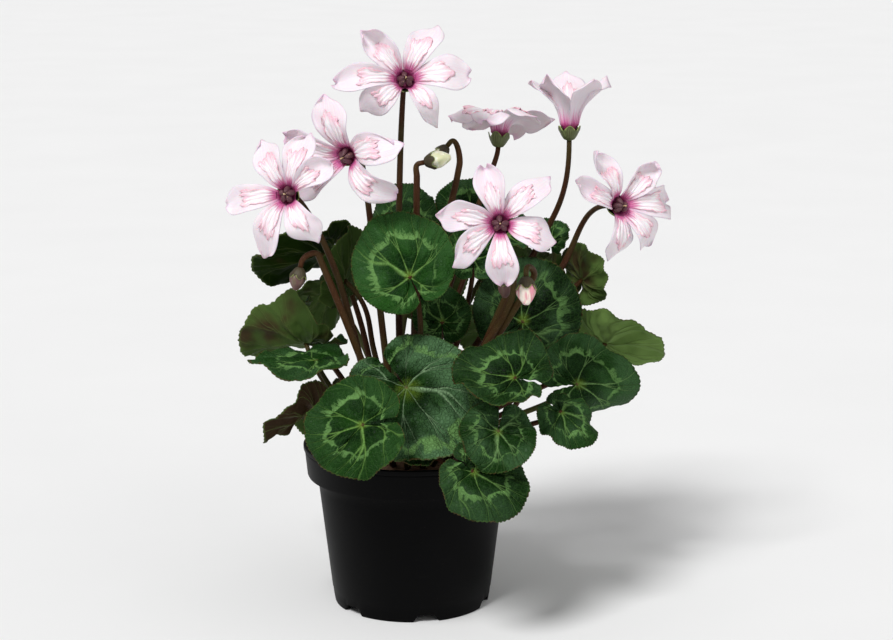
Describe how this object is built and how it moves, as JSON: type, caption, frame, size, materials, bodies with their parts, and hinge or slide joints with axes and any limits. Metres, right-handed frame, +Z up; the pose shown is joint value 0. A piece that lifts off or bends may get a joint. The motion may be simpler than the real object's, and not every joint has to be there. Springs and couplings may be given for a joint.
{
  "type": "potted cyclamen",
  "caption": "Flowering cyclamen in a round tapered nursery pot: patterned heart-shaped leaves on long stalks, pale pink open flowers above them, and hooked buds.",
  "frame": {"origin": "centre of the pot's foot, on the surface it stands on", "axes": "+Z up through the middle of the pot, -Y towards the plant's front, +X to its right"},
  "size_m": [0.2814, 0.2481, 0.3774],
  "materials": {
    "pot_plastic": "black moulded plastic, slightly glossy, with fine dust",
    "compost": "damp fibrous peat",
    "corm": "corky brown skin",
    "leaf": "waxy dark green with a pale green feathered zone and veins",
    "petal": "very pale pink, magenta at the throat",
    "sepal": "green with brown veins",
    "flower_stem": "brownish red, downy",
    "bud": "cream to pink closed petals on a brownish stem"
  },
  "bodies": {
    "root": {"bud_1": "bud", "bud_2": "bud", "bud_3": "bud", "bud_4": "bud", "bud_5": "bud", "compost": "compost", "corm": "corm", "flower_1_calyx": "sepal", "flower_1_petals": "petal", "flower_1_stem": "flower_stem", "flower_2_calyx": "sepal", "flower_2_petals": "petal", "flower_2_stem": "flower_stem", "flower_3_calyx": "sepal", "flower_3_petals": "petal", "flower_3_stem": "flower_stem", "flower_4_calyx": "sepal", "flower_4_petals": "petal", "flower_4_stem": "flower_stem", "flower_5_calyx": "sepal", "flower_5_petals": "petal", "flower_5_stem": "flower_stem", "flower_6_calyx": "sepal", "flower_6_petals": "petal", "flower_6_stem": "flower_stem", "flower_7_calyx": "sepal", "flower_7_petals": "petal", "flower_7_stem": "flower_stem", "leaf_01": "leaf", "leaf_02": "leaf", "leaf_03": "leaf", "leaf_04": "leaf", "leaf_05": "leaf", "leaf_06": "leaf", "leaf_07": "leaf", "leaf_08": "leaf", "leaf_09": "leaf", "leaf_10": "leaf", "leaf_11": "leaf", "leaf_12": "leaf", "leaf_13": "leaf", "leaf_14": "leaf", "leaf_15": "leaf", "leaf_16": "leaf", "leaf_17": "leaf", "leaf_18": "leaf", "leaf_19": "leaf", "leaf_20": "leaf", "leaf_21": "leaf", "leaf_22": "leaf", "leaf_23": "leaf", "leaf_24": "leaf", "leaf_25": "leaf", "leaf_26": "leaf", "leaf_27": "leaf", "leaf_28": "leaf", "leaf_29": "leaf", "leaf_30": "leaf", "pot": "pot_plastic"}
  },
  "joints": []
}
